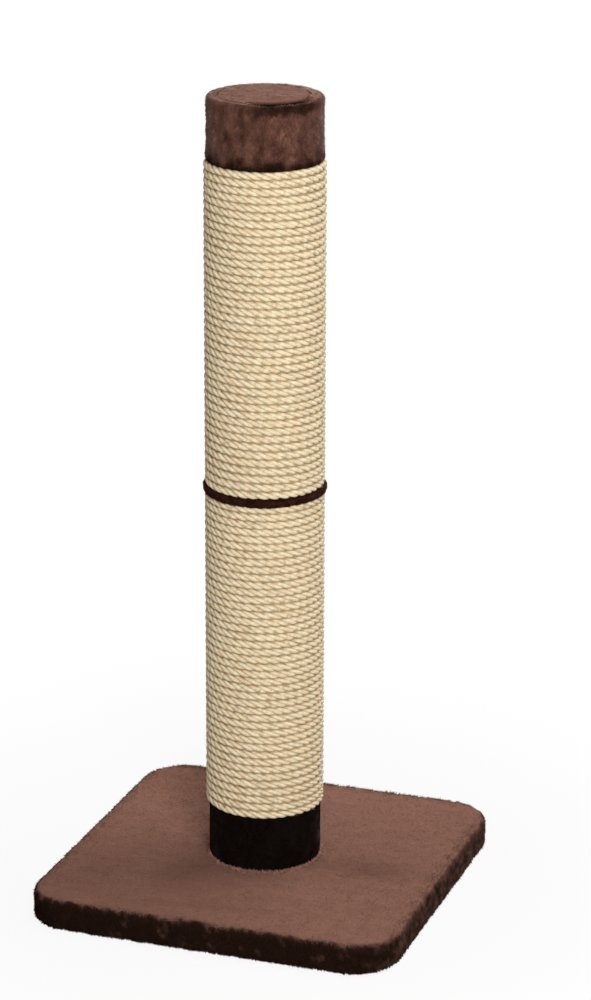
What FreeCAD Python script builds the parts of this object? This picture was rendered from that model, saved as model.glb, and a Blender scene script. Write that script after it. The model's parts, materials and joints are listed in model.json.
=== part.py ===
import FreeCAD
import Part
import math
import os

# Tall cat scratching post: a plush-covered base board, a two-piece paperboard post wound with
# sisal rope, a plush ring over the joint of the two pieces and a plush cap on top.
# Millimetres. The origin is on the floor under the middle of the base, +Z up, and the sides of
# the base run along X and Y.

Vector = FreeCAD.Vector
UP = Vector(0, 0, 1)

# ---- base ---------------------------------------------------------------------------------
BASE_SIDE = 500.0          # over the plush, each way
BASE_CORNER_R = 62.0       # corner seen from above, over the plush
BASE_EDGE_R = 7.0          # rounding of the plush along its top edge
HEM_EDGE_R = 1.9           # the same along its bottom edge
PLUSH_T = 5.0              # backing and standing pile of the base cover
HEM_T = 2.2                # the cover where it is turned under and pressed flat
HEM_W = 42.0               # from the outline of the base to the cut edge of the hem
UNDERLAY_T = 0.8           # non-woven sheet over the underside
UNDERLAY_INSET = 15.0      # from the outline of the base to the edge of the sheet
LOWER_BOARD_T = 18.0
UPPER_BOARD_T = 15.0
RECESS_R = 22.0            # hole in the lower board that takes the bolt head and the spanner
RECESS_SHEET_GAP = 3.0     # how far the sheet's hole stands back from that recess
FOOT_T = 1.5               # plush crushed under the foot of the post

# ---- post ---------------------------------------------------------------------------------
TUBE_R = 68.0
TUBE_WALL = 6.0
PLUG_T = 18.0
BAND_T = 6.3               # plush band at the foot of the post
BAND_H = 81.9              # from the foot to the rope
LOWER_ROPE_H = 427.4
RING_H = 11.6              # plush ring over the joint
UPPER_ROPE_H = 422.2

# ---- sisal rope ---------------------------------------------------------------------------
ROPE_D = 9.8
ROPE_SLACK = 0.22          # least gap between one row and the next
JOG_ANGLE = 70.0           # part of each row, at the back, over which it climbs to the next
ROPE_START_ANGLE = 75.0    # where the lowest row starts, at the back of the post

# ---- joint of the two tubes ---------------------------------------------------------------
DISC_RIM = 6.0             # how far the disc stands out past the tubes
DISC_T = 8.0
RING_SIDE_T = 6.4          # plush round the rim of the disc
RING_EDGE_R = 4.0
RING_FLANGE_W = 20.0       # from the outside of the tube in to the cut edge of the ring's plush

# ---- cap ----------------------------------------------------------------------------------
CAP_T = 7.9                # plush round the tube
CAP_SIDE_H = 71.4          # from the rope to the end of the tube
CAP_SHOULDER_R = 13.0
CAP_FOLD_T = 7.0           # plush folded over the end of the tube
CAP_FOLD_W = 24.0          # from the outside of the tube in to the cut edge of the fold
CAP_DISC_INSET = 10.0      # from the outside of the tube in to the rim of the top disc
CAP_DISC_T = 7.0           # card and plush together
CARD_INSET = 4.0           # from the rim of the top disc in to its card
CARD_T = 2.0
CAP_DISC_EDGE_R = 3.5

# ---- hardware -----------------------------------------------------------------------------
THREAD_R = 5.0             # M10
THREAD_CLEAR = 0.05
BOLT_HOLE_CLEAR = 0.5
BOLT_L = 50.0
BOLT_HEAD_AF = 17.0
BOLT_HEAD_H = 6.4
TIP_CHAMFER = 1.0
WASHER_R = 15.0
WASHER_T = 2.5
SPRING_WASHER_R = 9.0
SPRING_WASHER_T = 2.5
SPRING_WASHER_CUT = 1.4
STUD_L = 65.0
TEE_FLANGE_R = 13.0
TEE_FLANGE_T = 1.5
TEE_BARREL_R = 6.3
TEE_BARREL_L = 12.0
TEE_PRONGS = 4
TEE_PRONG_R = 10.5         # circle that the prongs stand on
TEE_PRONG_L = 7.0
TEE_PRONG_W = 3.0
TEE_PRONG_T = 1.2
SCREW_R = 2.0
SCREW_L = 30.0
SCREW_HEAD_R = 4.0
SCREW_TIP_L = 4.0
SCREW_INSET = 60.0         # from the outline of the base to the row of screws
SCREW_SLOT_W = 1.0
SCREW_SLOT_L = 5.0
SCREW_SLOT_DEPTH = 1.3
NAIL_R = 1.0
NAIL_L = 25.0
NAIL_HEAD_R = 2.4
NAIL_HEAD_T = 1.0
NAILS_PER_PLUG = 6
STAPLE_WIRE = 0.9
HEM_STAPLE_W = 10.0
HEM_STAPLE_LEG = 9.0
HEM_STAPLE_INSET = 26.0    # from the outline of the base to the row of staples
HEM_STAPLES_PER_SIDE = 6
HEM_STAPLE_SPACING = 62.0
ROPE_STAPLE_W = 9.0
ROPE_STAPLE_LEG = 14.0
ROPE_STAPLE_ANGLE = 7.0    # from the rope's end to its first staple, and on to its second
CAP_STAPLE_INSET = 14.0    # from the outside of the tube in to the circle of staples
CAP_STAPLE_SINK = 4.5      # crown below the face of the fold
CAP_STAPLES = 8

# ---- fits ---------------------------------------------------------------------------------
WRAP_CLEAR = 0.1           # plush, rope and plugs against the tube, and rope against plush
FOOT_CLEAR = 0.3           # plush pile of the base round the foot of the post

# ---- levels, from the floor up --------------------------------------------------------------
HEM_Z = UNDERLAY_T
LOWER_BOARD_Z = HEM_Z + HEM_T
UPPER_BOARD_Z = LOWER_BOARD_Z + LOWER_BOARD_T
BOARD_TOP_Z = UPPER_BOARD_Z + UPPER_BOARD_T
BASE_TOP_Z = BOARD_TOP_Z + PLUSH_T
FOOT_Z = BOARD_TOP_Z + FOOT_T
BAND_TOP_Z = FOOT_Z + BAND_H
RING_Z = BAND_TOP_Z + LOWER_ROPE_H
RING_TOP_Z = RING_Z + RING_H
RING_MID_Z = RING_Z + RING_H / 2
CAP_Z = RING_TOP_Z + UPPER_ROPE_H
TUBE_TOP_Z = CAP_Z + CAP_SIDE_H
FOLD_TOP_Z = TUBE_TOP_Z + CAP_FOLD_T
CAP_TOP_Z = FOLD_TOP_Z + CAP_DISC_T

# ---- sizes that follow from others ----------------------------------------------------------
TUBE_BORE_R = TUBE_R - TUBE_WALL
PLUG_R = TUBE_BORE_R - WRAP_CLEAR / 2
WRAP_R = TUBE_R + WRAP_CLEAR
BOARD_SIDE = BASE_SIDE - 2 * PLUSH_T
BOARD_CORNER_R = BASE_CORNER_R - PLUSH_T
BOLT_HOLE_R = THREAD_R + BOLT_HOLE_CLEAR
ROPE_LINE_R = WRAP_R + ROPE_D / 2
BAND_R = WRAP_R + BAND_T
DISC_R = TUBE_R + DISC_RIM
RING_R = DISC_R + WRAP_CLEAR + RING_SIDE_T
CAP_R = WRAP_R + CAP_T
CAP_DISC_R = TUBE_R - CAP_DISC_INSET
CARD_R = CAP_DISC_R - CARD_INSET
HALF_NAIL_STEP = 180.0 / NAILS_PER_PLUG
RING_PLUSH_T = (RING_H - DISC_T) / 2


def cylinder(radius, z0, z1, x=0.0, y=0.0):
    return Part.makeCylinder(radius, z1 - z0, Vector(x, y, z0))


def tube(outer_r, inner_r, z0, z1):
    return cylinder(outer_r, z0, z1).cut(cylinder(inner_r, z0 - 1, z1 + 1))


def rounded_square(side, corner_r, z0, z1):
    """A flat square plate with round corners."""
    block = Part.makeBox(side, side, z1 - z0, Vector(-side / 2, -side / 2, z0))
    upright = [e for e in block.Edges if abs(e.Vertexes[0].Z - e.Vertexes[1].Z) > (z1 - z0) / 2]
    return block.makeFillet(corner_r, upright)


def round_rim(solid, radius, z):
    """Rounds every edge of the solid that lies in the plane at z."""
    rim = [e for e in solid.Edges if abs(e.BoundBox.ZMin - z) < 1e-4 and abs(e.BoundBox.ZMax - z) < 1e-4]
    return solid.makeFillet(radius, rim)


def turned(points):
    """A solid of revolution about Z from an outline of (radius, z) points."""
    corners = [Vector(r, 0, z) for r, z in points]
    return Part.Face(Part.makePolygon(corners + corners[:1])).revolve(Vector(), UP, 360)


def around(solid, count, start=0.0):
    """Copies of a solid spaced evenly about Z."""
    return [solid.rotated(Vector(), UP, start + 360.0 * i / count) for i in range(count)]


def hexagon(across_flats, z0, z1):
    corner_r = across_flats / math.sqrt(3)
    corners = [
        Vector(corner_r * math.cos(math.radians(60 * i)), corner_r * math.sin(math.radians(60 * i)), z0)
        for i in range(7)
    ]
    return Part.Face(Part.makePolygon(corners)).extrude(Vector(0, 0, z1 - z0))


def staple(width, leg, wire=STAPLE_WIRE):
    """A staple with its crown along Y at z = 0 and its legs down."""
    crown = Part.makeBox(wire, width, wire, Vector(-wire / 2, -width / 2, -wire))
    legs = [
        Part.makeBox(wire, wire, leg, Vector(-wire / 2, y, -leg))
        for y in (-width / 2, width / 2 - wire)
    ]
    return crown.multiFuse(legs).removeSplitter()


# ---- fasteners ----------------------------------------------------------------------------
def hem_staples():
    """Staples that hold the hem of the base cover, in one row along each side."""
    flat = staple(HEM_STAPLE_W, HEM_STAPLE_LEG).rotated(Vector(), Vector(1, 0, 0), 180)
    reach = BASE_SIDE / 2 - HEM_STAPLE_INSET
    first = -HEM_STAPLE_SPACING * (HEM_STAPLES_PER_SIDE - 1) / 2
    row = [
        flat.translated(Vector(reach, first + HEM_STAPLE_SPACING * i, HEM_Z))
        for i in range(HEM_STAPLES_PER_SIDE)
    ]
    return [s.rotated(Vector(), UP, 90.0 * side) for side in range(4) for s in row]


def on_screw_places(solid):
    """Copies of a solid at the corners of the boards and in the middle of their sides."""
    reach = BASE_SIDE / 2 - SCREW_INSET
    places = [(reach * x, reach * y) for x in (-1, 0, 1) for y in (-1, 0, 1) if (x, y) != (0, 0)]
    return [solid.translated(Vector(x, y, LOWER_BOARD_Z)) for x, y in places]


def screw_hole():
    """The room that a countersunk screw takes in the boards, from below."""
    return turned([
        (0, 0), (SCREW_HEAD_R, 0), (SCREW_R, SCREW_HEAD_R - SCREW_R), (SCREW_R, SCREW_L - SCREW_TIP_L),
        (0, SCREW_L),
    ])


def board_screw():
    slot = Part.makeBox(
        SCREW_SLOT_L, SCREW_SLOT_W, SCREW_SLOT_DEPTH, Vector(-SCREW_SLOT_L / 2, -SCREW_SLOT_W / 2, 0)
    )
    return screw_hole().cut(slot).cut(slot.rotated(Vector(), UP, 90))


def plug_nails(z, start):
    """Nails through the wall of the tube into a plug, their heads flush with the tube."""
    shank = Part.makeCylinder(NAIL_R, NAIL_L, Vector(TUBE_R - NAIL_L, 0, z), Vector(1, 0, 0))
    head = Part.makeCylinder(NAIL_HEAD_R, NAIL_HEAD_T, Vector(TUBE_R - NAIL_HEAD_T, 0, z), Vector(1, 0, 0))
    nail = shank.fuse(head).common(cylinder(TUBE_R, z - TUBE_R, z + TUBE_R)).removeSplitter()
    return around(nail, NAILS_PER_PLUG, start)


def tee_nut(z_face, up):
    """A pronged nut whose flange lies on the plug's inner face at z_face. Its barrel points into
    the plug: upwards if up, and otherwise downwards."""
    near, half = TEE_PRONG_R - TEE_PRONG_T / 2, TEE_PRONG_W / 2
    corners = [Vector(near, -half, 0), Vector(near, half, 0), Vector(near, 0, TEE_PRONG_L)]
    prong = Part.Face(Part.makePolygon(corners + corners[:1])).extrude(Vector(TEE_PRONG_T, 0, 0))
    nut = cylinder(TEE_FLANGE_R, -TEE_FLANGE_T, 0).fuse(cylinder(TEE_BARREL_R, 0, TEE_BARREL_L))
    nut = nut.multiFuse(around(prong, TEE_PRONGS))
    nut = nut.cut(cylinder(THREAD_R + THREAD_CLEAR, -TEE_FLANGE_T - 1, TEE_BARREL_L + 1)).removeSplitter()
    if not up:
        nut = nut.rotated(Vector(), Vector(1, 0, 0), 180)
    return nut.translated(Vector(0, 0, z_face))


def threaded_rod(z0, z1):
    """A rod with chamfered ends. Its thread is plain."""
    small = THREAD_R - TIP_CHAMFER
    return turned([
        (0, z0), (small, z0), (THREAD_R, z0 + TIP_CHAMFER),
        (THREAD_R, z1 - TIP_CHAMFER), (small, z1), (0, z1),
    ])


def base_bolt():
    z = UPPER_BOARD_Z - WASHER_T - SPRING_WASHER_T
    shank = threaded_rod(z - TIP_CHAMFER, z + BOLT_L)
    head = hexagon(BOLT_HEAD_AF, z - BOLT_HEAD_H, z)
    return head.fuse(shank).removeSplitter()


def spring_washer():
    z1 = UPPER_BOARD_Z - WASHER_T
    ring = tube(SPRING_WASHER_R, BOLT_HOLE_R, z1 - SPRING_WASHER_T, z1)
    slit = Part.makeBox(
        SPRING_WASHER_R, SPRING_WASHER_CUT, SPRING_WASHER_T * 3,
        Vector(0, -SPRING_WASHER_CUT / 2, z1 - 2 * SPRING_WASHER_T),
    )
    return ring.cut(slit)


# ---- rope ---------------------------------------------------------------------------------
def arc_leaving(start, tangent, end):
    """The arc that leaves start along tangent and ends at end."""
    chord = end - start
    aside = chord - tangent * chord.dot(tangent)
    inward = Vector(aside).normalize()
    radius = chord.Length ** 2 / (2 * aside.Length)
    half = math.atan2(chord.dot(inward), chord.dot(tangent))
    middle = start + inward * (radius * (1 - math.cos(half))) + tangent * (radius * math.sin(half))
    return Part.Arc(start, middle, end).toShape()


def tangent_arcs(start, start_tangent, end, end_tangent):
    """Two arcs that join two points and keep to the given direction at each."""
    span = end - start
    both = start_tangent + end_tangent
    opening = 2 * (1 - start_tangent.dot(end_tangent))
    reach = (-span.dot(both) + math.sqrt(span.dot(both) ** 2 + opening * span.dot(span))) / opening
    middle = (start + end + (start_tangent - end_tangent) * reach) / 2
    first = arc_leaving(start, start_tangent, middle)
    second = arc_leaving(end, end_tangent * -1, middle)
    half_second = second.valueAt((second.FirstParameter + second.LastParameter) / 2)
    return [first, Part.Arc(middle, half_second, end).toShape()]


def on_post(turn, z):
    """The rope's centre after a turn in degrees from its start, clockwise seen from above."""
    a = math.radians(ROPE_START_ANGLE - turn)
    return Vector(ROPE_LINE_R * math.cos(a), ROPE_LINE_R * math.sin(a), z)


def along_post(turn, climb):
    """The rope's direction there if it climbs by climb mm for each mm round the post."""
    a = math.radians(ROPE_START_ANGLE - turn)
    return Vector(math.sin(a), -math.cos(a), climb).normalize()


def rope_path(z0, z1):
    """Level rows, one above the other, each with a climb to the next at the back of the post."""
    rise = z1 - z0 - ROPE_D
    climbs = max(1, int(rise // (ROPE_D + ROPE_SLACK)))
    pitch = rise / climbs
    jog_length = math.radians(JOG_ANGLE) * ROPE_LINE_R
    steepest = 1.5 * pitch / jog_length
    level_end = 360.0 - JOG_ANGLE
    halfway = level_end + JOG_ANGLE / 2
    top = 360.0
    edges = []
    for row in range(climbs + 1):
        z = z0 + ROPE_D / 2 + row * pitch
        level = Part.Arc(on_post(0, z), on_post(level_end / 2, z), on_post(level_end, z))
        edges.append(level.toShape())
        if row < climbs:
            edges += tangent_arcs(
                on_post(level_end, z), along_post(level_end, 0),
                on_post(halfway, z + pitch / 2), along_post(halfway, steepest),
            )
            edges += tangent_arcs(
                on_post(halfway, z + pitch / 2), along_post(halfway, steepest),
                on_post(top, z + pitch), along_post(top, 0),
            )
    return edges


def swept(edges, radius):
    """A round bar along a chain of tangent arcs, as one torus face for each arc."""
    first = edges[0]
    start = first.valueAt(first.FirstParameter)
    ring = Part.makeCircle(radius, start, first.tangentAt(first.FirstParameter))
    faces = [Part.Face(Part.Wire(ring))]
    for edge in edges:
        swing = math.degrees(edge.LastParameter - edge.FirstParameter)
        centre, axis = edge.Curve.Center, edge.Curve.Axis
        side = ring.revolve(centre, axis, swing)
        faces.append(side)
        ring = ring.rotated(centre, axis, swing)
    faces.append(Part.Face(Part.Wire(ring)))
    shell = Part.makeShell(faces)
    shell.sewShape()
    solid = Part.makeSolid(shell)
    if solid.Volume < 0:
        solid.reverse()
    return solid


def rope_staples(z0, z1):
    """Two staples at each end of a rope, their crowns along the rope and their legs in the tube."""
    flat = staple(ROPE_STAPLE_W, ROPE_STAPLE_LEG).rotated(Vector(), Vector(0, 1, 0), 90)
    out = WRAP_R + ROPE_D
    low = flat.translated(Vector(out, 0, z0 + ROPE_D / 2))
    high = flat.translated(Vector(out, 0, z1 - ROPE_D / 2))
    end_angle = ROPE_START_ANGLE + JOG_ANGLE
    staples = []
    for i in (1, 2):
        staples.append(low.rotated(Vector(), UP, ROPE_START_ANGLE - ROPE_STAPLE_ANGLE * i))
        staples.append(high.rotated(Vector(), UP, end_angle + ROPE_STAPLE_ANGLE * i))
    return staples


# ---- covers -------------------------------------------------------------------------------
def base_cover(staples):
    """Plush over the top and sides of the boards, turned under to a hem."""
    outside = rounded_square(BASE_SIDE, BASE_CORNER_R, HEM_Z, BASE_TOP_Z)
    outside = round_rim(outside, BASE_EDGE_R, BASE_TOP_Z)
    outside = round_rim(outside, HEM_EDGE_R, HEM_Z)
    boards = rounded_square(BOARD_SIDE, BOARD_CORNER_R, LOWER_BOARD_Z, BOARD_TOP_Z)
    inside_hem = rounded_square(BASE_SIDE - 2 * HEM_W, BASE_CORNER_R - HEM_W, HEM_Z - 1, LOWER_BOARD_Z)
    foot = cylinder(BAND_R + FOOT_CLEAR, FOOT_Z, BASE_TOP_Z + 1)
    bolt = cylinder(BOLT_HOLE_R, BOARD_TOP_Z - 1, FOOT_Z + 1)
    return outside.cut(boards).cut(inside_hem).cut(foot).cut(bolt).cut(Part.makeCompound(staples))


def joint_cover():
    """Plush round the rim of the joint disc and over the edge of both its faces."""
    outside = round_rim(cylinder(RING_R, RING_Z, RING_TOP_Z), RING_EDGE_R, RING_TOP_Z)
    outside = round_rim(outside, RING_EDGE_R, RING_Z)
    disc = cylinder(DISC_R + WRAP_CLEAR, RING_Z + RING_PLUSH_T, RING_TOP_Z - RING_PLUSH_T)
    return outside.cut(disc).cut(cylinder(TUBE_R - RING_FLANGE_W, RING_Z - 1, RING_TOP_Z + 1))


def cap_sleeve(staples):
    """Plush round the end of the tube, folded in over it with a soft shoulder."""
    outside = round_rim(cylinder(CAP_R, CAP_Z, FOLD_TOP_Z), CAP_SHOULDER_R, FOLD_TOP_Z)
    post = cylinder(WRAP_R, CAP_Z - 1, TUBE_TOP_Z)
    opening = cylinder(TUBE_R - CAP_FOLD_W, TUBE_TOP_Z - 1, FOLD_TOP_Z + 1)
    return outside.cut(post).cut(opening).cut(Part.makeCompound(staples))


def cap_disc():
    """Plush disc that hides the cut edge of the fold, with a card in its underside."""
    outside = round_rim(cylinder(CAP_DISC_R, FOLD_TOP_Z, CAP_TOP_Z), CAP_DISC_EDGE_R, CAP_TOP_Z)
    return outside.cut(cylinder(CARD_R + WRAP_CLEAR, FOLD_TOP_Z - 1, FOLD_TOP_Z + CARD_T))


def cap_staples():
    crown_z = FOLD_TOP_Z - CAP_STAPLE_SINK
    flat = staple(HEM_STAPLE_W, HEM_STAPLE_LEG)
    one = flat.translated(Vector(TUBE_R - CAP_STAPLE_INSET, 0, crown_z))
    return around(one, CAP_STAPLES)


# ---- assembly -----------------------------------------------------------------------------
def base_parts():
    staples = hem_staples()
    driven = Part.makeCompound(on_screw_places(screw_hole()) + staples)
    lower = rounded_square(BOARD_SIDE, BOARD_CORNER_R, LOWER_BOARD_Z, UPPER_BOARD_Z)
    lower = lower.cut(cylinder(RECESS_R, LOWER_BOARD_Z - 1, UPPER_BOARD_Z + 1))
    upper = rounded_square(BOARD_SIDE, BOARD_CORNER_R, UPPER_BOARD_Z, BOARD_TOP_Z)
    upper = upper.cut(cylinder(BOLT_HOLE_R, UPPER_BOARD_Z - 1, BOARD_TOP_Z + 1))
    sheet = rounded_square(BASE_SIDE - 2 * UNDERLAY_INSET, BASE_CORNER_R - UNDERLAY_INSET, 0, UNDERLAY_T)
    return {
        "base_board_lower": lower.cut(driven),
        "base_board_upper": upper.cut(driven),
        "base_board_screws": Part.makeCompound(on_screw_places(board_screw())),
        "base_plush_cover": base_cover(staples),
        "base_hem_staples": Part.makeCompound(staples),
        "base_underlay": sheet.cut(cylinder(RECESS_R + RECESS_SHEET_GAP, -1, UNDERLAY_T + 1)),
        "base_bolt": base_bolt(),
        "base_spring_washer": spring_washer(),
        "base_flat_washer": tube(WASHER_R, BOLT_HOLE_R, UPPER_BOARD_Z - WASHER_T, UPPER_BOARD_Z),
    }


def plug(z0, nails, nut=None):
    """A board disc in the end of a tube, with a bolt hole if it holds a nut."""
    disc = cylinder(PLUG_R, z0, z0 + PLUG_T)
    if nut is not None:
        disc = disc.cut(cylinder(BOLT_HOLE_R, z0 - 1, z0 + PLUG_T + 1)).cut(nut)
    return disc.cut(Part.makeCompound(nails))


def lower_post_parts():
    z_top_plug = RING_Z - PLUG_T
    bottom_nails = plug_nails(FOOT_Z + PLUG_T / 2, 0)
    top_nails = plug_nails(RING_Z - PLUG_T / 2, HALF_NAIL_STEP)
    rope_z = (BAND_TOP_Z + WRAP_CLEAR, RING_Z - WRAP_CLEAR)
    staples = rope_staples(*rope_z)
    driven = Part.makeCompound(bottom_nails + top_nails + staples)
    bottom_nut = tee_nut(FOOT_Z + PLUG_T, up=False)
    top_nut = tee_nut(z_top_plug, up=True)
    return {
        "lower_tube": tube(TUBE_R, TUBE_BORE_R, FOOT_Z, RING_Z).cut(driven),
        "lower_bottom_plug": plug(FOOT_Z, bottom_nails, bottom_nut),
        "lower_top_plug": plug(z_top_plug, top_nails, top_nut),
        "lower_plug_nails": Part.makeCompound(bottom_nails + top_nails),
        "lower_bottom_tee_nut": bottom_nut,
        "lower_top_tee_nut": top_nut,
        "lower_plush_band": tube(BAND_R, WRAP_R, FOOT_Z, BAND_TOP_Z),
        "lower_sisal_rope": swept(rope_path(*rope_z), ROPE_D / 2).cut(Part.makeCompound(staples)),
        "lower_rope_staples": Part.makeCompound(staples),
    }


def joint_parts():
    return {
        "joint_disc": tube(DISC_R, BOLT_HOLE_R, RING_Z + RING_PLUSH_T, RING_TOP_Z - RING_PLUSH_T),
        "joint_plush_ring": joint_cover(),
        "joint_stud": threaded_rod(RING_MID_Z - STUD_L / 2, RING_MID_Z + STUD_L / 2),
    }


def upper_post_parts():
    bottom_nails = plug_nails(RING_TOP_Z + PLUG_T / 2, 0)
    top_nails = plug_nails(TUBE_TOP_Z - PLUG_T / 2, HALF_NAIL_STEP)
    rope_z = (RING_TOP_Z + WRAP_CLEAR, CAP_Z - WRAP_CLEAR)
    staples = rope_staples(*rope_z)
    fold_staples = cap_staples()
    driven = Part.makeCompound(bottom_nails + top_nails + staples + fold_staples)
    bottom_nut = tee_nut(RING_TOP_Z + PLUG_T, up=False)
    return {
        "upper_tube": tube(TUBE_R, TUBE_BORE_R, RING_TOP_Z, TUBE_TOP_Z).cut(driven),
        "upper_bottom_plug": plug(RING_TOP_Z, bottom_nails, bottom_nut),
        "upper_top_plug": plug(TUBE_TOP_Z - PLUG_T, top_nails + fold_staples),
        "upper_plug_nails": Part.makeCompound(bottom_nails + top_nails),
        "upper_bottom_tee_nut": bottom_nut,
        "upper_sisal_rope": swept(rope_path(*rope_z), ROPE_D / 2).cut(Part.makeCompound(staples)),
        "upper_rope_staples": Part.makeCompound(staples),
        "cap_plush_sleeve": cap_sleeve(fold_staples),
        "cap_fold_staples": Part.makeCompound(fold_staples),
        "cap_card": cylinder(CARD_R, FOLD_TOP_Z, FOLD_TOP_Z + CARD_T),
        "cap_plush_disc": cap_disc(),
    }


def main():
    os.makedirs("parts", exist_ok=True)
    parts = {**base_parts(), **lower_post_parts(), **joint_parts(), **upper_post_parts()}
    for name, shape in parts.items():
        solids = shape.Solids
        if not all(s.isValid() and s.Volume > 0 for s in solids):
            raise RuntimeError(f"{name} is not a sound solid")
        shape.exportStep(f"parts/{name}.step")
        print(f"{name}: {len(solids)} solid(s), {shape.Volume:.0f} mm3")


main()
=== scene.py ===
import json
import math
import random

import bmesh
import bpy
import numpy as np
from mathutils import Matrix, Vector, noise


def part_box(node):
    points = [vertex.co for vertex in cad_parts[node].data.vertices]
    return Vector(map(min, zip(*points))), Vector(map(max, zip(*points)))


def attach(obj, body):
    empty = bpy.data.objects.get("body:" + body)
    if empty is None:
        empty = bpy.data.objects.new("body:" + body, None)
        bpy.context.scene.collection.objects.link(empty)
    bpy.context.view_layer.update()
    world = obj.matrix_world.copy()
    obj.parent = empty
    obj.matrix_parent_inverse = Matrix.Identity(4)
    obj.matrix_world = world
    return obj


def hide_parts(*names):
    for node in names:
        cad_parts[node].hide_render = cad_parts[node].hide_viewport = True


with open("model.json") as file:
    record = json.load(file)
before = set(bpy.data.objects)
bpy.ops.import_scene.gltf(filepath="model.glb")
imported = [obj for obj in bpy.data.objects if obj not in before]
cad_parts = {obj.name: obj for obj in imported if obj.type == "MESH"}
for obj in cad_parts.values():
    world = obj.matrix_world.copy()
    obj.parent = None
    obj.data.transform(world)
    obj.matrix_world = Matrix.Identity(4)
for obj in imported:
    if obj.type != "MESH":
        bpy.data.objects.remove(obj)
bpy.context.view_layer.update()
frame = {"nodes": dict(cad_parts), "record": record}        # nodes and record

bl_info = {
    "name": "Scratching Post",
    "version": (1, 0, 0),
    "blender": (4, 5, 0),
    "location": "3D View > Sidebar > Scratching Post",
    "description": "Covers the post's frame in plush and winds it with sisal rope",
    "category": "Object",
}

MM = 0.001
TURN = 2 * math.pi


# ---- small helpers ----
def linear(code):
    """An sRGB hex colour as linear red, green and blue."""
    channels = (int(code[i:i + 2], 16) / 255 for i in (0, 2, 4))
    return tuple(c / 12.92 if c <= 0.04045 else ((c + 0.055) / 1.055) ** 2.4 for c in channels)


def size(name, description, millimetres):
    """A length that the user can change."""
    return bpy.props.FloatProperty(
        name=name, description=description, default=millimetres * MM, min=0.0, unit="LENGTH", precision=5
    )


def colour(name, description, code):
    """A colour that the user can change."""
    return bpy.props.FloatVectorProperty(
        name=name, description=description, default=linear(code), min=0.0, max=1.0, size=3, subtype="COLOR"
    )


def fill(node, inputs):
    """Fills or links a node's inputs by name or number. A colour is given as its three values."""
    for key, value in inputs.items():
        socket = node.inputs[key]
        if isinstance(value, bpy.types.NodeSocket):
            node.id_data.links.new(value, socket)
        else:
            socket.default_value = (*value, 1) if socket.type == "RGBA" else value


def add(tree, kind, inputs=None, take=0, **settings):
    """Adds a node with its settings and inputs, and returns the output with that name or number."""
    node = tree.nodes.new(kind)
    for name, value in settings.items():
        setattr(node, name, value)
    fill(node, inputs or {})
    return node.outputs[take] if node.outputs else None


def new_object(name, data):
    """An object in the scene that shows the given data."""
    made = bpy.data.objects.new(name, data)
    bpy.context.scene.collection.objects.link(made)
    return made


def finished(holder):
    """The mesh that an object shows, with its modifiers or its bevel. The object itself goes."""
    name = holder.name
    depsgraph = bpy.context.evaluated_depsgraph_get()
    mesh = bpy.data.meshes.new_from_object(holder.evaluated_get(depsgraph))
    bpy.data.objects.remove(holder)
    mesh.name = name
    return mesh


def ease(low, high, value):
    """0 below low, 1 above high, and a smooth step between them."""
    t = min(max((value - low) / (high - low), 0.0), 1.0)
    return t * t * (3 - 2 * t)


def ripple(point, across, up=None):
    """Smooth noise from -1 to 1 with the given sizes of its lumps, in metres."""
    return noise.noise(Vector((point[0] / across, point[1] / across, point[2] / (up or across))))


def degrees_from(middle, angle):
    """How many degrees a direction in radians lies from a middle one in degrees."""
    return abs((math.degrees(angle) - middle + 180) % 360 - 180)


# ---- what the user can change ----
class PostSizes(bpy.types.PropertyGroup):
    """Sizes of the plush and the rope. The pieces' places come from the frame."""

    corner: size("Base corner", "Radius of the base's corners, seen from above", 62)
    edge: size("Base edge", "Rounding of the base along its top edge", 7.5)
    hem: size("Hem", "Width of the cover where it is turned under the base", 42)
    pile_width: size("Pile width", "Width of a tuft of the brown plush at its root", 2.3)
    pile_length: size("Pile length", "Length of a tuft of the brown plush", 4.6)
    dark_width: size("Dark pile width", "Width of a tuft of the dark plush at its root", 1.9)
    dark_length: size("Dark pile length", "Length of a tuft of the dark plush", 2.8)
    shoulder: size("Cap shoulder", "Rounding of the cap where it folds over the post", 5)
    pile_sink: size("Pile sink", "Depth of the roots under the face of the cloth", 0.5)
    strand: size("Strand", "Radius of one strand of the rope", 2.78)
    strand_out: size("Strand offset", "Distance of a strand's middle from the rope's, across the post", 2.45)
    strand_up: size("Strand rise", "Distance of a strand's middle from the rope's, up and down", 2.75)
    lay: size("Lay", "Length of rope in which a strand goes once round it", 38)
    fibre: size("Stray fibre", "Thickness of a fibre that stands out of the rope", 0.2)


class PostColours(bpy.types.PropertyGroup):
    """Colours of the plush and the rope."""

    pile_tip: colour("Pile", "Tips of the brown pile where it lies flat", "866154")
    pile_root: colour("Pile root", "Depth of the brown pile", "6f4e42")
    # The next two colours are a shaded copy of the pile's colours: painted shade on the base's sides and in
    # the cap's crevice, partly the darker look of pile seen end-on.
    flank_tip: colour("Flank", "Tips of the pile where one looks into it", "2f1d15")
    flank_root: colour("Flank root", "Depth of the pile there", "160e0a")
    cap_tip: colour("Cap", "Tips of the cap's pile", "765043")
    cap_root: colour("Cap root", "Depth of the cap's pile", "50332a")
    band_tip: colour("Band", "Tips of the band's pile", "19120e")
    band_root: colour("Band root", "Depth of the band's pile", "0a0605")
    ring_tip: colour("Ring", "Tips of the ring's pile", "3c2018")
    ring_root: colour("Ring root", "Depth of the ring's pile", "200e09")
    sisal: colour("Sisal", "Bleached sisal fibre", "dfcfae")
    # This colour is the darker fibres, and also the painted shade in the rope's grooves.
    sisal_dark_and_shade: colour("Old sisal", "Darker fibres and the grooves of the rope", "80602f")


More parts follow.
